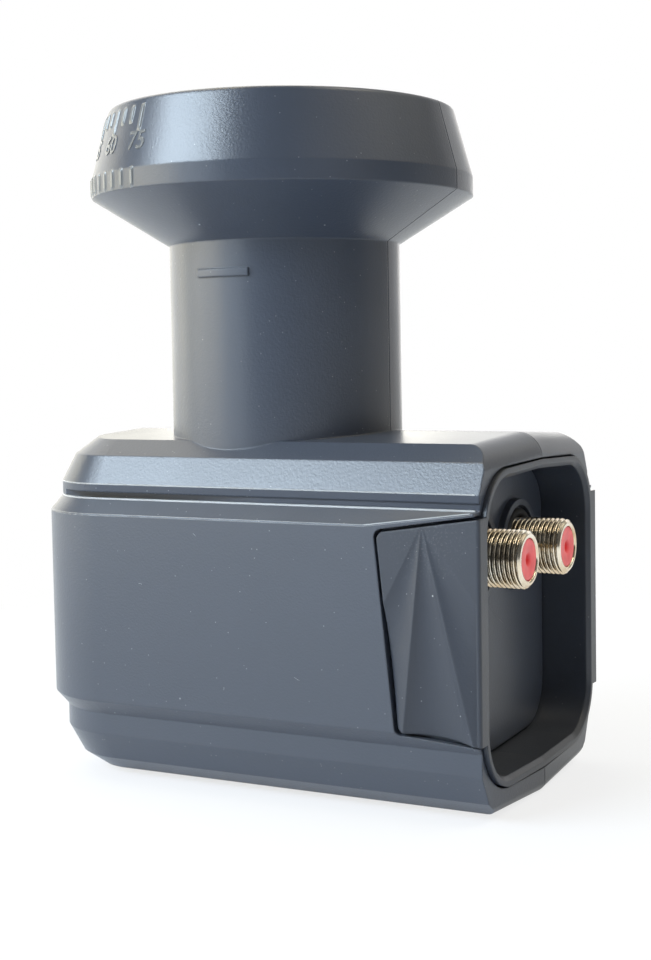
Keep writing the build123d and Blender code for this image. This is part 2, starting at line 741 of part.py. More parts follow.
def main():
    os.makedirs("parts", exist_ok=True)
    whole = housing()
    save("front_shell", whole & block(-FAR, FAR, -FAR, 0, -FAR, FAR * 2))
    save("rear_shell", whole & block(-FAR, FAR, 0, FAR, -FAR, FAR * 2))
    save("weather_cover", weather_cover())
    save("feed_cap", feed_cap())
    save("feed_cap_seal", feed_cap_seal())
    save("chassis_casting", chassis_casting())
    save("chassis_lid", chassis_lid())
    save("lid_gasket", lid_gasket())
    save("lid_screws", lid_screws())
    save("circuit_board", circuit_board())
    save("board_screws", board_screws())
    save("probe_vertical", probe(90))
    save("probe_horizontal", probe(180))
    save("amplifier_transistors", amplifier_transistors())
    save("converter_chip", on_board(CHIP_AT, (CHIP_SIDE, CHIP_SIDE, CHIP_TALL)))
    save("reference_crystal", on_board(CRYSTAL_AT, CRYSTAL_SIZE))
    save("voltage_regulator", on_board(REGULATOR_AT, REGULATOR_SIZE))
    save("end_plate", end_plate())
    for side, y in (("front", -CONN_Y), ("rear", CONN_Y)):
        save(f"connector_{side}_shell", connector_shell(y))
        save(f"connector_{side}_insulator", connector_insulator(y))
        save(f"connector_{side}_contact", connector_contact(y))
        save(f"connector_{side}_seal", connector_seal(y))


main()
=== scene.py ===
import bpy
import json
import math
import random
from mathutils import Matrix, Vector


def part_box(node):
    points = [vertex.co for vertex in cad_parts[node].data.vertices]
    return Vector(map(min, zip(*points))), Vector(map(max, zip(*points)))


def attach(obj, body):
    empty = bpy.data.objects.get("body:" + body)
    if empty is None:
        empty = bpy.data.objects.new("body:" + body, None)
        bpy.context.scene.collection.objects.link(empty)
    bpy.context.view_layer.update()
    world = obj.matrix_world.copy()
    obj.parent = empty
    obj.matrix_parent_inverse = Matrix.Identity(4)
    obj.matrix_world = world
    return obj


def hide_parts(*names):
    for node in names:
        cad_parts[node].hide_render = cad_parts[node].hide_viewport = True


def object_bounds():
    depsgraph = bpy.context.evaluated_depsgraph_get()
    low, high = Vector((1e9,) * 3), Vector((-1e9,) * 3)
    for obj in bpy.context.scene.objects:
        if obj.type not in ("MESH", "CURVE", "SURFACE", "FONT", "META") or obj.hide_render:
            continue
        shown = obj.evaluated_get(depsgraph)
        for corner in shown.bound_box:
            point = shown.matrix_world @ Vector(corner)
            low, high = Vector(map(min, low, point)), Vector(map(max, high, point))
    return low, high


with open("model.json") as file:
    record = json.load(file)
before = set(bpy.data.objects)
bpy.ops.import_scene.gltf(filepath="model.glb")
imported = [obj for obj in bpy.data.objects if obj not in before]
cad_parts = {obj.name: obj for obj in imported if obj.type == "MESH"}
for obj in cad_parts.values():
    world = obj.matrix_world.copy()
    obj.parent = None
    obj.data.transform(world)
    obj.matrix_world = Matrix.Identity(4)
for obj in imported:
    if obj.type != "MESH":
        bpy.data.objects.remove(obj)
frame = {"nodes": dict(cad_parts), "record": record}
first_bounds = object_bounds()
nodes = frame["nodes"]
record = frame["record"]
scene = bpy.context.scene
MM = 0.001
COLLAR_Z = 71.4  # height of the frame's origin above the lower front edge of the body, in mm


def at(x, y, z):
    """A place in mm, counted from the body's lower edge, as a point of the frame."""
    return Vector((x * MM, y * MM, (z - COLLAR_Z) * MM))


# Shader helpers

class Graph:
    """A material's node tree with short names for the nodes used here."""

    def __init__(self, name):
        self.material = bpy.data.materials.new(name)
        self.material.use_nodes = True
        self.tree = self.material.node_tree
        self.bsdf = next(n for n in self.tree.nodes if n.type == "BSDF_PRINCIPLED")
        self.output = next(n for n in self.tree.nodes if n.type == "OUTPUT_MATERIAL")
        self.coord = self.tree.nodes.new("ShaderNodeTexCoord").outputs["Object"]

    def new(self, kind, **values):
        made = self.tree.nodes.new(kind)
        for key, value in values.items():
            setattr(made, key, value)
        return made

    def put(self, value, socket):
        if isinstance(value, bpy.types.NodeSocket):
            self.tree.links.new(value, socket)
        else:
            socket.default_value = value

    def scaled(self, stretch):
        mapping = self.new("ShaderNodeMapping")
        self.put(self.coord, mapping.inputs["Vector"])
        mapping.inputs["Scale"].default_value = stretch
        return mapping.outputs["Vector"]

    def noise(self, scale, detail=2.0, rough=0.5, stretch=None):
        made = self.new("ShaderNodeTexNoise")
        self.put(self.scaled(stretch) if stretch else self.coord, made.inputs["Vector"])
        made.inputs["Scale"].default_value = scale
        made.inputs["Detail"].default_value = detail
        made.inputs["Roughness"].default_value = rough
        return made.outputs["Fac"]

    def cells(self, scale):
        made = self.new("ShaderNodeTexVoronoi")
        self.put(self.coord, made.inputs["Vector"])
        made.inputs["Scale"].default_value = scale
        return made.outputs["Distance"], made.outputs["Color"]

    def ramp(self, value, low, high, a=0.0, b=1.0):
        made = self.new("ShaderNodeMapRange", clamp=True)
        self.put(value, made.inputs["Value"])
        made.inputs["From Min"].default_value = low
        made.inputs["From Max"].default_value = high
        made.inputs["To Min"].default_value = a
        made.inputs["To Max"].default_value = b
        return made.outputs["Result"]

    def math(self, how, a, b):
        made = self.new("ShaderNodeMath", operation=how)
        self.put(a, made.inputs[0])
        self.put(b, made.inputs[1])
        return made.outputs[0]

    def mix(self, factor, a, b):
        made = self.new("ShaderNodeMix", data_type="RGBA")
        self.put(factor, made.inputs["Factor"])
        self.put((*a, 1) if isinstance(a, tuple) else a, made.inputs["A"])
        self.put((*b, 1) if isinstance(b, tuple) else b, made.inputs["B"])
        return made.outputs["Result"]

    def split(self, colour):
        made = self.new("ShaderNodeSeparateColor")
        self.put(colour, made.inputs["Color"])
        return made.outputs

    def near(self, place, reach):
        """One at a place of the frame, falling to nothing at the given reach in metres."""
        made = self.new("ShaderNodeVectorMath", operation="DISTANCE")
        self.put(self.coord, made.inputs[0])
        made.inputs[1].default_value = place
        return self.ramp(made.outputs["Value"], 0.0, reach, 1.0, 0.0)

    def height_of(self, vector):
        made = self.new("ShaderNodeSeparateXYZ")
        self.put(vector, made.inputs["Vector"])
        return made.outputs["Z"]

    def up(self):
        """One where the surface looks straight up, less than nothing where it looks down."""
        return self.height_of(self.new("ShaderNodeNewGeometry").outputs["Normal"])

    def band(self, low, high):
        """One between two places' heights and nothing outside."""
        height = self.height_of(self.coord)
        above = self.math("GREATER_THAN", height, low.z)
        return self.math("MULTIPLY", above, self.math("LESS_THAN", height, high.z))

    def bump(self, height, distance, strength=1.0, normal=None):
        made = self.new("ShaderNodeBump")
        self.put(height, made.inputs["Height"])
        made.inputs["Distance"].default_value = distance
        made.inputs["Strength"].default_value = strength
        if normal is not None:
            self.put(normal, made.inputs["Normal"])
        return made.outputs["Normal"]

    def soft_edge(self, radius):
        made = self.new("ShaderNodeBevel", samples=4)
        made.inputs["Radius"].default_value = radius
        return made.outputs["Normal"]

    def finish(self, **sockets):
        for key, value in sockets.items():
            value = (*value, 1) if isinstance(value, tuple) else value
            self.put(value, self.bsdf.inputs[key.replace("_", " ")])
        return self.material


DUST_COLOUR = (0.55, 0.57, 0.58)
PLASTIC_IOR = 1.58
GRAIN_SCALE, GRAIN_DEPTH = 2400, 0.00006
RIPPLE_SCALE, RIPPLE_DEPTH = 240, 0.00002


def specks(g, scale, chosen, size):
    """Round dust specks in a few cells of a pattern, with the limits of their choice and size."""
    distance, tint = g.cells(scale)
    kept = g.ramp(g.split(tint)["Red"], *chosen)
    return g.math("MULTIPLY", g.ramp(distance, *size, 1.0, 0.0), kept)


def plastic(name, dark, pale, rough, edge=0.0004, dust=1.0, gloss=0.5, scuff=None, matt=None):
    """Moulded plastic with fine grain and sparse dust, a scuffed spot and a less glossy band.

    The scuff is a place and its reach, the matt band the two places whose heights bound it.
    """
    g = Graph(name)
    colour = g.mix(g.noise(38, 3.0, 0.55), dark, pale)
    coarse = specks(g, 480, (0.975, 0.977), (0.045, 0.085))
    fine = specks(g, 2100, (0.975, 0.98), (0.12, 0.24))
    film = g.ramp(g.up(), 0.4, 1.0, 0.0, 0.03 * dust)
    coarse = g.math("MULTIPLY", coarse, 0.6 * dust)
    fine = g.math("MULTIPLY", fine, 0.3 * dust)
    mark = g.math("MAXIMUM", g.math("MAXIMUM", coarse, fine), film)
    if scuff:
        rubbed = g.ramp(g.noise(2600, 3.0, 0.7), 0.54, 0.66)
        rubbed = g.math("MULTIPLY", rubbed, g.near(*scuff))
        mark = g.math("MAXIMUM", mark, g.math("MULTIPLY", rubbed, 0.07))
    colour = g.mix(mark, colour, DUST_COLOUR)
    roughness = g.ramp(g.noise(70, 3.0, 0.55), 0.3, 0.7, rough - 0.015, rough + 0.02)
    normal = g.bump(g.noise(GRAIN_SCALE, 2.0, 0.6), GRAIN_DEPTH, 0.5, g.soft_edge(edge))
    normal = g.bump(g.noise(RIPPLE_SCALE, 2.0, 0.5), RIPPLE_DEPTH, 0.2, normal)
    if matt:
        gloss = g.ramp(g.band(*matt), 0.0, 1.0, gloss, gloss / 2)
    return g.finish(
        Base_Color=colour, Roughness=roughness, Normal=normal,
        IOR=PLASTIC_IOR, Specular_IOR_Level=gloss,
    )


def rubber(name, colour):
    """Dull rubber or lint, mottled and rough."""
    g = Graph(name)
    shade = g.mix(g.noise(300, 3.0), colour, tuple(c * 1.8 for c in colour))
    rough = g.ramp(g.noise(500, 3.0), 0.3, 0.7, 0.6, 0.8)
    normal = g.bump(g.noise(1500, 2.0), 0.00001, 0.6)
    return g.finish(Base_Color=shade, Roughness=rough, Normal=normal)


def metal(name, bright, worn, rough, edge=0.00008, bumpiness=0.000004):
    """Bare or plated metal with worn patches."""
    g = Graph(name)
    stain = g.ramp(g.noise(180, 4.0, 0.6), 0.35, 0.75)
    colour = g.mix(stain, bright, worn)
    roughness = g.ramp(g.noise(420, 3.0), 0.3, 0.7, rough * 0.8, rough * 1.35)
    normal = g.bump(g.noise(1600, 3.0), bumpiness, 0.5, g.soft_edge(edge))
    return g.finish(Base_Color=colour, Metallic=1.0, Roughness=roughness, Normal=normal)


def resin(name, colour, rough):
    """Moulded resin of the chips."""
    g = Graph(name)
    shade = g.mix(g.noise(260, 3.0), colour, tuple(min(1, c * 1.25) for c in colour))
    roughness = g.ramp(g.noise(700, 3.0), 0.3, 0.7, rough * 0.85, rough * 1.2)
    normal = g.bump(g.noise(2200, 2.0), 0.000006, 0.5, g.soft_edge(0.0001))
    return g.finish(Base_Color=shade, Roughness=roughness, Normal=normal)


PIN_HOLE_R, PIN_HOLE_FADE_R = 0.0007, 0.0012


def insulator(name, ring, hole, pin_y, pin_z):
    """Moulded insulator of the outlets, with painted shade: a deeper red round the pin hole on each
    outlet's axis.
    """
    g = Graph(name)
    flat = g.new("ShaderNodeVectorMath", operation="ABSOLUTE")
    g.put(g.scaled((0, 1, 1)), flat.inputs[0])
    away = g.new("ShaderNodeVectorMath", operation="DISTANCE")
    g.put(flat.outputs["Vector"], away.inputs[0])
    away.inputs[1].default_value = (0, abs(pin_y), abs(pin_z))
    # The deeper red towards the pin hole is painted shade of the hole
    centre = g.ramp(away.outputs["Value"], PIN_HOLE_R, PIN_HOLE_FADE_R, 1.0, 0.0)
    shade = g.mix(g.ramp(g.noise(700, 3.0), 0.3, 0.7), ring, tuple(c * 0.86 for c in ring))
    shade = g.mix(centre, shade, hole)
    roughness = g.ramp(g.noise(900, 3.0), 0.3, 0.7, 0.42, 0.55)
    normal = g.bump(g.noise(2200, 2.0), 0.000006, 0.5, g.soft_edge(0.0001))
    return g.finish(Base_Color=shade, Roughness=roughness, Normal=normal)


def laminate(name):
    """Green solder mask over a woven board."""
    g = Graph(name)
    weave = g.noise(900, 1.0, 0.5, (1, 6, 1))
    shade = g.mix(weave, (0.02, 0.12, 0.06), (0.035, 0.19, 0.095))
    return g.finish(Base_Color=shade, Roughness=g.ramp(weave, 0, 1, 0.28, 0.4))


ANTHRACITE = (0.039, 0.047, 0.066)
ANTHRACITE_PALE = (0.047, 0.056, 0.079)
COVER_GREY = (0.031, 0.036, 0.049)
COVER_PALE = (0.038, 0.044, 0.060)
CAP_GREY = (0.03, 0.032, 0.038)
CAP_PALE = (0.038, 0.041, 0.048)
# Pale grey of the edge lips: painted highlight, far paler than the housing plastic so the lips read as
# bright edge lines
EDGE_HIGHLIGHT_GREY = (0.30, 0.31, 0.33)
EDGE_HIGHLIGHT_PALE = (0.36, 0.37, 0.39)
# Pale grey of the raised ticks and figures: painted highlight, paler than the housing plastic they are
# moulded in
MARK_HIGHLIGHT_GREY = (0.115, 0.117, 0.119)
MARK_HIGHLIGHT_PALE = (0.15, 0.153, 0.155)
RED_RING = (0.95, 0.15, 0.16)
# Deeper red round the pin hole: painted shade of the hole
RED_HOLE_SHADE = (0.74, 0.014, 0.018)
SATIN = 0.3
scoop_apex = (at(39, -26.2, 44.0), 0.009)
skirt_band = (at(0, 0, 47.9), at(0, 0, 50.05))
mounts = {m["name"]: m for m in record["mounts"]}
outlet_axis = mounts["outlet_front"]["pos_m"][1:]
looks = {
    "housing_plastic": plastic(
        "housing_plastic", ANTHRACITE, ANTHRACITE_PALE, SATIN, matt=skirt_band),
    "cover_plastic": plastic(
        "cover_plastic", COVER_GREY, COVER_PALE, 0.34, gloss=0.34, scuff=scoop_apex),
    "plate_plastic": plastic("plate_plastic", ANTHRACITE, ANTHRACITE_PALE, 0.38, 0.0003, 0.6),
    "cap_plastic": plastic("cap_plastic", CAP_GREY, CAP_PALE, 0.56, 0.0002, 1.3),
    "seal_rubber": rubber("seal_rubber", (0.01, 0.01, 0.011)),
    "cast_metal": metal("cast_metal", (0.62, 0.63, 0.65), (0.45, 0.46, 0.48), 0.45, 0.0003, 0.00002),
    "lid_metal": metal("lid_metal", (0.66, 0.67, 0.69), (0.52, 0.53, 0.55), 0.35),
    "screw_steel": metal("screw_steel", (0.6, 0.6, 0.61), (0.45, 0.45, 0.44), 0.3),
    "board_laminate": laminate("board_laminate"),
    "plated_copper": metal("plated_copper", (0.83, 0.62, 0.25), (0.6, 0.42, 0.16), 0.25),
    "chip_resin": resin("chip_resin", (0.015, 0.015, 0.017), 0.5),
    "can_metal": metal("can_metal", (0.75, 0.75, 0.76), (0.6, 0.6, 0.6), 0.25),
    "connector_metal": metal("connector_metal", (0.90, 0.84, 0.72), (0.62, 0.45, 0.25), 0.17, 0.00004),
    "painted_highlight_edge": plastic("painted_highlight_edge", EDGE_HIGHLIGHT_GREY, EDGE_HIGHLIGHT_PALE, 0.2, dust=0.3),
    "raised_marks_highlight": plastic("raised_marks_highlight", MARK_HIGHLIGHT_GREY, MARK_HIGHLIGHT_PALE, 0.24, 0.0001, 0.3),
    "lint": rubber("lint", (0.2, 0.205, 0.21)),
    "red_insulator": insulator("red_insulator", RED_RING, RED_HOLE_SHADE, *outlet_axis),
}
slot_of = {s["node"]: s["material_slot"] for s in record["subparts"]}
for name, made in nodes.items():
    made.data.materials.clear()
    made.data.materials.append(looks[slot_of[name]])


def piece(name, points, faces, slot, finish=None, body="housing", sharp_deg=None):
    """A new mesh that rides on a body, with the finish of its slot or one of its own.

    It is shaded smooth, apart from edges sharper than the given angle.
    """
    mesh = bpy.data.meshes.new(name)
    mesh.from_pydata([tuple(p) for p in points], [], faces)
    mesh.validate()
    mesh.update()
    mesh.shade_smooth()
    if sharp_deg:
        mesh.set_sharp_from_angle(angle=math.radians(sharp_deg))
    mesh.materials.append(looks[finish or slot])
    made = bpy.data.objects.new(name, mesh)
    scene.collection.objects.link(made)
    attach(made, body)
    return made


# Threaded outlets with a helical 3/8-32 thread, lengths in mm

PITCH = 25.4 / 32
TURN = 96
THREAD_ROWS = 190
THREAD_DEEP = 0.45
THREAD_LONG = 10.2
BARREL_R = 4.9
FLANGE_R = 6.2
FLANGE_BACK_X, FLANGE_FRONT_X = 37.0, 38.2
TIP_R = 4.05
BORE_R = 3.55
MOUTH_R = BORE_R - 0.13
MOUTH_DEEP = 1.5
GUIDE_BACK_X = 36.0
GUIDE_SUNK = 0.18
GUIDE_R = MOUTH_R - 0.1
PIN_HOLE_ROWS = ((0.0, 1.25), (0.12, 1.1), (0.45, 0.6), (1.2, 0.05))  # depth and radius


def lathe(rows, centre, radius_at):
    """A closed ring of quads round +X through the centre, one loop for each row."""
    points = []
    for row in rows:
        for k in range(TURN):
            angle = 2 * math.pi * k / TURN
            r = radius_at(row, k / TURN)
            points.append(centre + Vector((row[0], r * math.cos(angle), r * math.sin(angle))) * MM)
    faces = []
    for i in range(len(rows)):
        j = (i + 1) % len(rows)
        for k in range(TURN):
            m = (k + 1) % TURN
            faces.append((i * TURN + k, i * TURN + m, j * TURN + m, j * TURN + k))
    return points, faces


def outlet(side):
    """The threaded barrel and the red pin guide of one outlet, in place of the plain solids."""
    mount = mounts[f"outlet_{side}"]
    centre = Vector((0, mount["pos_m"][1], mount["pos_m"][2]))
    crest = mount["dims"]["r_mm"]
    root = crest - THREAD_DEEP
    low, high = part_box(f"connector_{side}_shell")
    back, tip = low.x / MM, high.x / MM
    start, stop = tip - THREAD_LONG, tip - 0.42
    rows = [(back, BORE_R, 0), (back, BARREL_R, 0)]
    rows += [(FLANGE_BACK_X, BARREL_R, 0), (FLANGE_BACK_X, FLANGE_R, 0)]
    rows += [(FLANGE_FRONT_X, FLANGE_R, 0), (FLANGE_FRONT_X, BARREL_R, 0)]
    rows += [(start - 0.1, BARREL_R, 0), (start - 0.05, root, 0)]
    for i in range(THREAD_ROWS + 1):
        rows.append((start + (stop - start) * i / THREAD_ROWS, crest, 1))
    rows += [(stop + 0.08, root + 0.28, 0), (tip - 0.1, TIP_R + 0.15, 0)]
    rows += [(tip - 0.03, TIP_R + 0.07, 0), (tip, TIP_R, 0)]
    rows += [(tip, MOUTH_R + 0.1, 0), (tip - 0.1, MOUTH_R, 0)]
    rows += [(tip - MOUTH_DEEP, MOUTH_R, 0), (tip - MOUTH_DEEP - 0.05, BORE_R, 0)]

    def radius_at(row, share):
        x, radius, threaded = row
        if not threaded:
            return radius
        phase = (x / PITCH - share) % 1.0
        wave = 1 - abs(2 * phase - 1)
        profile = min(1.0, max(0.0, (wave - 0.12) / 0.7))
        fade = min(1.0, (x - start) / 0.5, (stop - x) / 0.2)
        return root + (crest - root) * profile * max(0.0, fade)

    thread = lathe(rows, centre, radius_at)
    made = piece(f"thread_{side}", *thread, "connector_metal", sharp_deg=50)
    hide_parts(f"connector_{side}_shell")

    front = tip - GUIDE_SUNK
    neck_x = tip - MOUTH_DEEP - 0.1
    rows = [(GUIDE_BACK_X, 0.05), (GUIDE_BACK_X, BORE_R), (neck_x, BORE_R), (neck_x, GUIDE_R)]
    rows += [(front - 0.1, GUIDE_R), (front, GUIDE_R - 0.1)]
    rows += [(front - deep, radius) for deep, radius in PIN_HOLE_ROWS]
    guide = lathe(rows, centre, lambda row, share: row[1])
    made = piece(f"pin_guide_{side}", *guide, "red_insulator", sharp_deg=40)
    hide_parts(f"connector_{side}_insulator")


outlet("front")
outlet("rear")


# Skew scale on the drum: rounded ridges over the ticks, and raised figures on the taper

SCALE_ZERO_DEG = 178
SCALE_END_DEG = 75
SCALE_STEP_DEG = 5
SCALE_LONG_DEG = 15
DRUM_R, DRUM_TOP_R = 32.9, 29.7
DRUM_EDGE_Z, DRUM_BAND_Z, DRUM_TOP_Z = 98.4, 101.6, 113.2
TICK_TOP_Z = DRUM_TOP_Z - 1.7
TICK_SHORT, TICK_LONG = 2.0, 3.5
BAND_TICK_LOW_Z, BAND_TICK_HIGH_Z = DRUM_EDGE_Z + 0.6, DRUM_BAND_Z - 0.3
RIDGE_TOP, RIDGE_HALF, RIDGE_TALL = 0.23, 0.58, 0.245
RIDGE_SUNK = 0.015
FIGURE_Z = 105.9
FIGURE_TALL = 4.4
FIGURE_PROUD = 0.02
FIGURE_ROUND = 0.07
TAPER = (DRUM_R - DRUM_TOP_R) / (DRUM_TOP_Z - DRUM_BAND_Z)


def drum_r(z):
    return DRUM_R - TAPER * max(0.0, z - DRUM_BAND_Z)


def on_drum(side, z, proud, turn_deg):
    """A point of the drum's skin, a little sideways of a turn and proud of the skin, in mm."""
    r = drum_r(z) + proud
    angle = math.radians(turn_deg) + side / drum_r(z)
    return at(r * math.cos(angle), r * math.sin(angle), z)


def ridge(low, high, turn_deg):
    """A low ridge up the drum with a flat top and soft flanks and ends, as a grid."""
    across, along = 16, 14
    points = []
    for j in range(along + 1):
        t = j / along
        z = low - RIDGE_HALF + (high - low + 2 * RIDGE_HALF) * t
        past = max(0.0, low - z, z - high) / RIDGE_HALF
        for i in range(across + 1):
            side = RIDGE_HALF * (2 * i / across - 1)
            fall = max(0.0, (abs(side) - RIDGE_TOP) / (RIDGE_HALF - RIDGE_TOP))
            share = max(0.0, 1 - math.hypot(fall, past))
            lift = RIDGE_TALL * share * share * (3 - 2 * share)
            points.append(on_drum(side, z, lift - RIDGE_SUNK, turn_deg))
    row = across + 1
    faces = []
    for j in range(along):
        for i in range(across):
            k = j * row + i
            faces.append((k, k + 1, k + row + 1, k + row))
    return points, faces


def figure(value, turn_deg):
    """A plain raised number, bent round the drum's taper."""
    curve = bpy.data.curves.new("figure", "FONT")
    curve.body = str(value)
    curve.align_x = "CENTER"
    curve.align_y = "CENTER"
    curve.size = FIGURE_TALL
    curve.extrude = FIGURE_PROUD
    curve.bevel_depth = FIGURE_ROUND
    curve.bevel_resolution = 2
    curve.resolution_u = 3
    text = bpy.data.objects.new("figure", curve)
    scene.collection.objects.link(text)
    bpy.context.view_layer.update()
    evaluated = text.evaluated_get(bpy.context.evaluated_depsgraph_get())
    mesh = bpy.data.meshes.new_from_object(evaluated)
    bpy.data.objects.remove(text)
    upright = math.cos(math.atan(TAPER))
    points = [
        on_drum(v.co.x, FIGURE_Z + v.co.y * upright, v.co.z + FIGURE_PROUD, turn_deg)
        for v in mesh.vertices
    ]
    faces = [tuple(p.vertices) for p in mesh.polygons]
    bpy.data.meshes.remove(mesh)
    return points, faces


def gathered(parts):
    """Several sets of points and faces as one."""
    points, faces = [], []
    for more_points, more_faces in parts:
        base = len(points)
        points += more_points
        faces += [tuple(base + i for i in f) for f in more_faces]
    return points, faces


ticks, figures = [], []
for value in range(-SCALE_END_DEG, SCALE_END_DEG + 1, SCALE_STEP_DEG):
    turn_deg = SCALE_ZERO_DEG + value
    is_long = value % SCALE_LONG_DEG == 0
    tick_long = TICK_LONG if is_long else TICK_SHORT
    ticks.append(ridge(TICK_TOP_Z - tick_long, TICK_TOP_Z, turn_deg))
    ticks.append(ridge(BAND_TICK_LOW_Z, BAND_TICK_HIGH_Z, turn_deg))
    if is_long:
        figures.append(figure(abs(value), turn_deg))
# Ticks and figures get the pale marks finish, a painted highlight on ridges of the housing's own
# colour
piece("skew_ticks", *gathered(ticks), "housing_plastic", finish="raised_marks_highlight")
piece("skew_figures", *gathered(figures), "housing_plastic", finish="raised_marks_highlight", sharp_deg=60)


# Fine moulded lips along the belt's upper edge, under the groove and under the skirt's chamfer

CORNER_X, CORNER_Y = -23.6, 9.2
RISE_X, END_X = 28.0, 47.5
LIP_END_X = 46.0
CORNER_STEPS = 16


def outline(half):
    """The body's plan at a half depth, from the right end round the left corners and back."""
    radius = half - CORNER_Y
    path = [(LIP_END_X, -half), (RISE_X, -half)]
    for i in range(CORNER_STEPS + 1):
        angle = math.pi / 2 * i / CORNER_STEPS
        x = CORNER_X - radius * math.sin(angle)
        y = -CORNER_Y - radius * math.cos(angle)
        path.append((x, y))
    return path + [(x, -y) for x, y in reversed(path)]


def strip_faces(count, sides):
    """Faces of a closed strip: quads between its loops of points, and a cap at each end."""
    faces = []
    for i in range(count - 1):
        for k in range(sides):
            m = (k + 1) % sides
            here, ahead = i * sides, (i + 1) * sides
            faces.append((here + k, here + m, ahead + m, ahead + k))
    faces.append(tuple(reversed(range(sides))))
    faces.append(tuple((count - 1) * sides + k for k in range(sides)))
    return faces


def lip(half, z, rise, section):
    """A thin closed strip round the body, whose section is given as steps outwards and upwards.

    Right of RISE_X the strip climbs, by the given rise at the body's end.
    """
    loops = [outline(half + out) for out, _ in section]
    points = []
    for corners in zip(*loops):
        for (x, y), (_, up) in zip(corners, section):
            climb = rise * max(0.0, x - RISE_X) / (END_X - RISE_X)
            points.append(at(x, y, z + climb + up))
    return points, strip_faces(len(loops[0]), len(section))


BELT_HALF, BELT_HIGH_Z, BELT_BEVEL = 26.2, 45.2, 2.5
SKIRT_HALF, SKIRT_HIGH_Z = 24.1, 50.15
groove_z = BELT_HIGH_Z + BELT_BEVEL
lips = [
    lip(BELT_HALF, BELT_HIGH_Z, BELT_BEVEL, [(0.02, -0.2), (-0.1, 0.16), (-0.45, -0.1)]),
    lip(SKIRT_HALF, groove_z, 0.0, [(0.12, -0.16), (-0.02, 0.2), (-0.4, -0.1)]),
    lip(SKIRT_HALF, SKIRT_HIGH_Z, 0.0, [(0.04, -0.1), (-0.04, 0.14), (-0.4, -0.05)]),
]
# The lips get the pale edge finish, a painted highlight along the body's edges
piece("edge_lips", *gathered(lips), "housing_plastic", finish="painted_highlight_edge", sharp_deg=30)


# A few lint fibres that cling to the end plate and the belt, placed by a fixed seed

random.seed(7)
FIBRE_R = 0.022
FIBRE_SIDES = 5
FIBRE_STEPS = 8
BELT_FIBRES = 4
PLATE_FACE_X = 38.8
OUT_OF_BELT = Vector((0, -1, 0))
OUT_OF_PLATE = Vector((1, 0, 0))


def tube(path, radius, sides):
    """A closed round tube through a row of points, in the frame's metres."""
    points = []
    for i, here in enumerate(path):
        onward = path[min(i + 1, len(path) - 1)] - path[max(i - 1, 0)]
        onward.normalize()
        upright = abs(onward.z) > 0.9
        side = onward.orthogonal() if upright else onward.cross(Vector((0, 0, 1)))
        side.normalize()
        top = side.cross(onward)
        for k in range(sides):
            angle = 2 * math.pi * k / sides
            points.append(here + (side * math.cos(angle) + top * math.sin(angle)) * radius)
    return points, strip_faces(len(path), sides)


def fibre(start, along, out, long):
    """A thin bent fibre that lies on a face, which looks out the given way."""
    along = along.normalized()
    across = out.cross(along)
    bend = random.uniform(-0.4, 0.4)
    path = []
    for i in range(FIBRE_STEPS + 1):
        t = i / FIBRE_STEPS
        lie = along * t + across * bend * t * (1 - t)
        path.append(start + lie * long * MM + out * FIBRE_R * MM)
    return tube(path, FIBRE_R * MM, FIBRE_SIDES)


fibres = [fibre(at(PLATE_FACE_X, -2.3, 29.9), Vector((0, 3, -2)), OUT_OF_PLATE, 7.0)]
for _ in range(BELT_FIBRES):
    place = at(random.uniform(-20, 24), -BELT_HALF, random.uniform(17, 43))
    lie = Vector((random.uniform(-1, 1), 0, random.uniform(-1, 1)))
    fibres.append(fibre(place, lie, OUT_OF_BELT, random.uniform(0.4, 1.0)))
piece("lint", *gathered(fibres), "housing_plastic", finish="lint")


# Camera at the photograph's viewpoint

IMAGE_W, IMAGE_H = 651.0, 960.0
FOCAL_PX = 1560.95
CENTRE_PX = (385.0, 450.0)
CAMERA_PLACE = at(138.491, -237.165, 71.617)
cam_data = bpy.data.cameras.new("camera")
camera = bpy.data.objects.new("camera", cam_data)
scene.collection.objects.link(camera)
scene.camera = camera
cam_data.sensor_fit = "VERTICAL"
cam_data.sensor_height = 36.0
cam_data.sensor_width = 28.0
cam_data.lens = FOCAL_PX * cam_data.sensor_height / IMAGE_H
cam_data.shift_x = (IMAGE_W / 2 - CENTRE_PX[0]) / IMAGE_H
cam_data.shift_y = (CENTRE_PX[1] - IMAGE_H / 2) / IMAGE_H
cam_data.clip_start = 0.01
cam_data.clip_end = 20.0
right = Vector((0.8932637, 0.4492729, -0.0152912))
above = Vector((-0.0143772, 0.0625508, 0.9979382))
ahead = Vector((-0.4493031, 0.8912021, -0.0623336))
turn = Matrix((right, above, -ahead)).transposed().to_4x4()
camera.matrix_world = Matrix.Translation(CAMERA_PLACE) @ turn


# Floor and backdrop, white to the camera and partly in reflections, with a faint shadow

CAMERA_TURN = 26.75  # degrees from -Y towards +X
STAGE_HALF = 3.0
SHADOW_SHARE = 0.3
SHADOW_REACH = 0.2
FLOOR_MIRRORED, BACKDROP_MIRRORED = 0.5, 1.0
ROOM_GLOW = 0.07
LAMP_AWAY = 1.1
low_z = first_bounds[0].z - 0.0002


def away_from_part(turn, lift=0.0):
    """The way out from the part at a turn and lift, counted from the camera's side."""
    a, e = math.radians(CAMERA_TURN + turn), math.radians(lift)
    return Vector((math.sin(a) * math.cos(e), -math.cos(a) * math.cos(e), math.sin(e)))


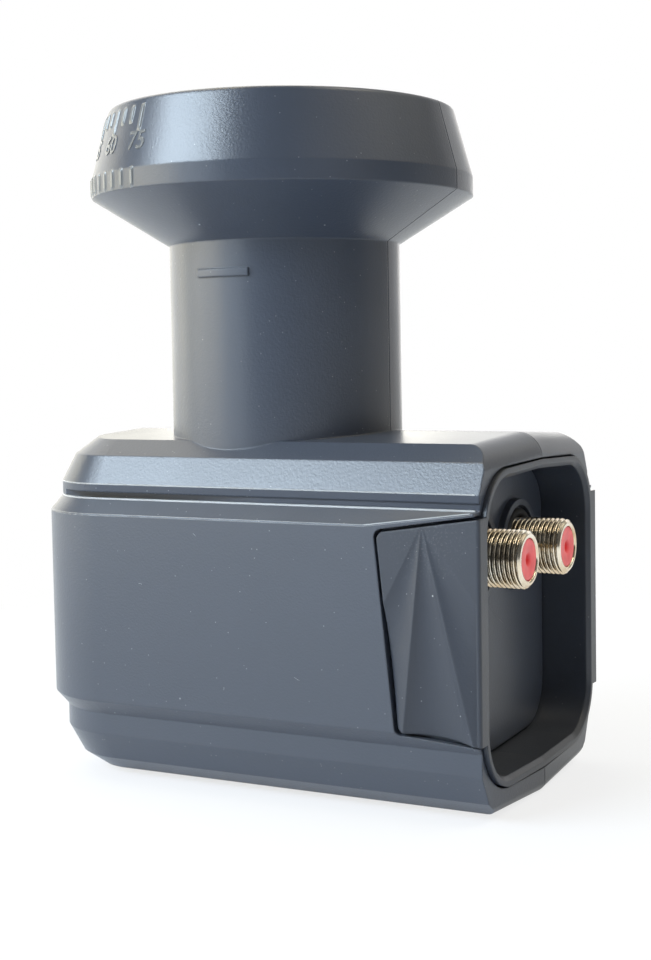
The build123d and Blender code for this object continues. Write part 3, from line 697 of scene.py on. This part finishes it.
def white(name, in_glossy, shadow_at=None):
    """White to the camera, with a share of that white in reflections, and lit as matte otherwise."""
    g = Graph(name)
    matte = g.finish(Base_Color=(0.80, 0.86, 0.95), Roughness=0.9)
    glow = g.new("ShaderNodeEmission")
    glow.inputs["Strength"].default_value = 1.0
    path = g.new("ShaderNodeLightPath")
    mirrored = g.math("MULTIPLY", path.outputs["Is Glossy Ray"], in_glossy)
    share = g.math("MAXIMUM", path.outputs["Is Camera Ray"], mirrored)
    share = g.math("MAXIMUM", share, path.outputs["Is Transmission Ray"])
    if shadow_at:
        lit = g.ramp(g.near(shadow_at, SHADOW_REACH), 0.0, 1.0, 1.0, 1 - SHADOW_SHARE)
        share = g.math("MULTIPLY", share, lit)
    blend = g.new("ShaderNodeMixShader")
    g.put(share, blend.inputs[0])
    g.put(g.bsdf.outputs[0], blend.inputs[1])
    g.put(glow.outputs[0], blend.inputs[2])
    g.put(blend.outputs[0], g.output.inputs["Surface"])
    return matte


def sheet(name, corners, material):
    """A flat four-cornered stage piece."""
    mesh = bpy.data.meshes.new(name)
    mesh.from_pydata(corners, [], [(0, 1, 2, 3)])
    mesh.materials.append(material)
    made = bpy.data.objects.new(name, mesh)
    scene.collection.objects.link(made)


signs = [(-1, -1), (1, -1), (1, 1), (-1, 1)]
ground = [(STAGE_HALF * x, STAGE_HALF * y, low_z) for x, y in signs]
sheet("floor", ground, white("floor", FLOOR_MIRRORED, (0, 0, low_z)))
behind = away_from_part(180)
sideways = Vector((behind.y, -behind.x, 0))
far = behind * STAGE_HALF * 0.9 + Vector((0, 0, low_z))
upward = Vector((0, 0, STAGE_HALF / 2))
wall = [far + sideways * STAGE_HALF * x + upward * (y + 1) for x, y in signs]
sheet("backdrop", wall, white("backdrop", BACKDROP_MIRRORED))

world = bpy.data.worlds.new("studio")
scene.world = world
world.use_nodes = True
tree = world.node_tree
tree.nodes.clear()
output = tree.nodes.new("ShaderNodeOutputWorld")
room = tree.nodes.new("ShaderNodeBackground")
room.inputs["Color"].default_value = (0.97, 1.0, 1.0, 1)
room.inputs["Strength"].default_value = ROOM_GLOW
plain = tree.nodes.new("ShaderNodeBackground")
plain.inputs["Color"].default_value = (1, 1, 1, 1)
plain.inputs["Strength"].default_value = 1.0
path = tree.nodes.new("ShaderNodeLightPath")
blend = tree.nodes.new("ShaderNodeMixShader")
tree.links.new(path.outputs["Is Camera Ray"], blend.inputs[0])
tree.links.new(room.outputs[0], blend.inputs[1])
tree.links.new(plain.outputs[0], blend.inputs[2])
tree.links.new(blend.outputs[0], output.inputs["Surface"])


def area(name, turn, lift, wide, tall, power, colour):
    """A soft light at a turn and lift seen from the part, counted from the camera's side."""
    data = bpy.data.lights.new(name, "AREA")
    data.shape = "RECTANGLE"
    data.size = wide
    data.size_y = tall
    data.energy = power
    data.color = colour
    made = bpy.data.objects.new(name, data)
    away = away_from_part(turn, lift)
    made.location = away * LAMP_AWAY
    made.rotation_mode = "QUATERNION"
    made.rotation_quaternion = away.to_track_quat("Z", "Y")
    made.visible_camera = False
    scene.collection.objects.link(made)


area("window", -61, 31, 0.75, 0.4, 12.4, (0.72, 0.87, 1.0))
area("window_glow", -65, 38, 1.0, 0.5, 4.2, (0.86, 0.94, 1.0))
area("left_front_wall", -50, 3, 0.5, 0.26, 0.85, (0.9, 0.98, 1.0))
area("left_wall", -79, 4, 0.65, 0.6, 5.0, (1.0, 0.95, 0.78))
area("left_side_wall", -110, 4, 0.65, 0.6, 3.2, (1.0, 0.94, 0.72))
area("left_back_wall", -150, 12, 1.4, 0.7, 4.2, (1.0, 0.95, 0.79))
area("back_wall", 174, 7, 0.6, 0.4, 1.1, (1.0, 0.98, 0.94))
area("ceiling_left", -150, 55, 1.0, 0.8, 5.8, (1.0, 0.94, 0.8))
area("ceiling_right", 90, 50, 1.0, 0.8, 2.8, (1.0, 0.94, 0.8))
area("right_wall", 112, 12, 1.0, 0.7, 0.6, (1.0, 0.93, 0.78))
area("front_right", 36, 26, 0.8, 0.6, 0.7, (1.0, 0.96, 0.9))
area("above_recess", 63, 60, 0.5, 0.4, 2.8, (1.0, 0.9, 0.7))
area("above_bevel", -80, 70, 0.4, 0.25, 2.0, (1.0, 0.84, 0.5))

scene.view_settings.view_transform = "Standard"
